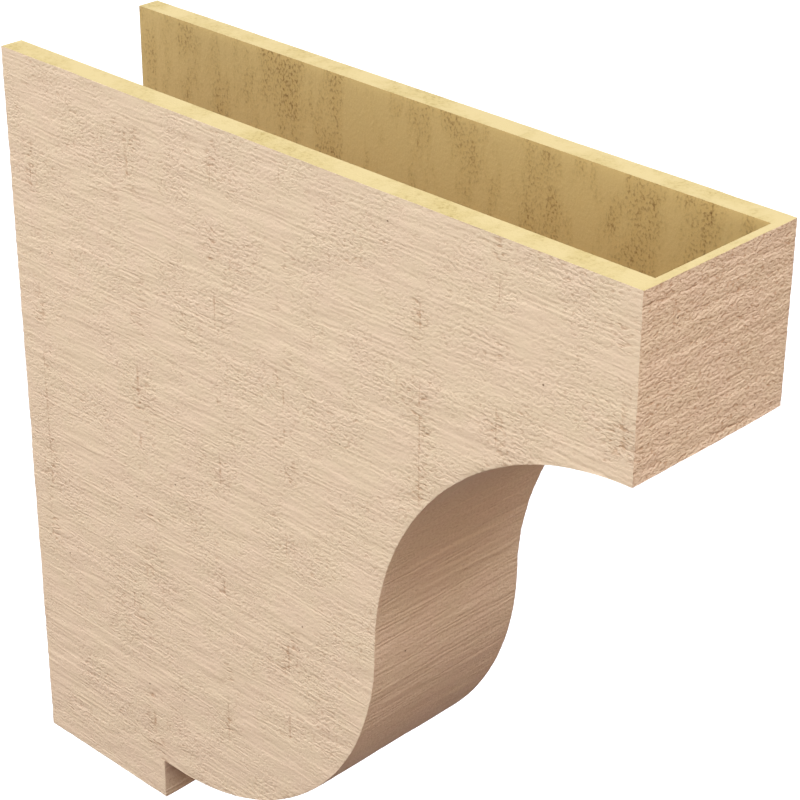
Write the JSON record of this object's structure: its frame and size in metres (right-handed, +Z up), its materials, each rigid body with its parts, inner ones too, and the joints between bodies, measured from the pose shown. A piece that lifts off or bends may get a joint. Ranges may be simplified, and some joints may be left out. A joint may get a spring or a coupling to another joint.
{
  "type": "imitation cedar corbel",
  "caption": "Hollow wall bracket with a square nose, a cove and a rounded belly, moulded with a rough-sawn cedar texture and left open on top and behind.",
  "frame": {"origin": "on the wall plane, midway between the two sides, in the middle of the rear edge of the foot's floor", "axes": "+Y into the wall and -Y out towards the nose, +Z up, +X across the width"},
  "size_m": [0.1524, 0.6096, 0.6096],
  "materials": {
    "primed_foam": "rigid foam with a rough-sawn wood grain moulded in and a matt tan primer"
  },
  "bodies": {
    "root": {"corbel_shell": "primed_foam"}
  },
  "joints": []
}
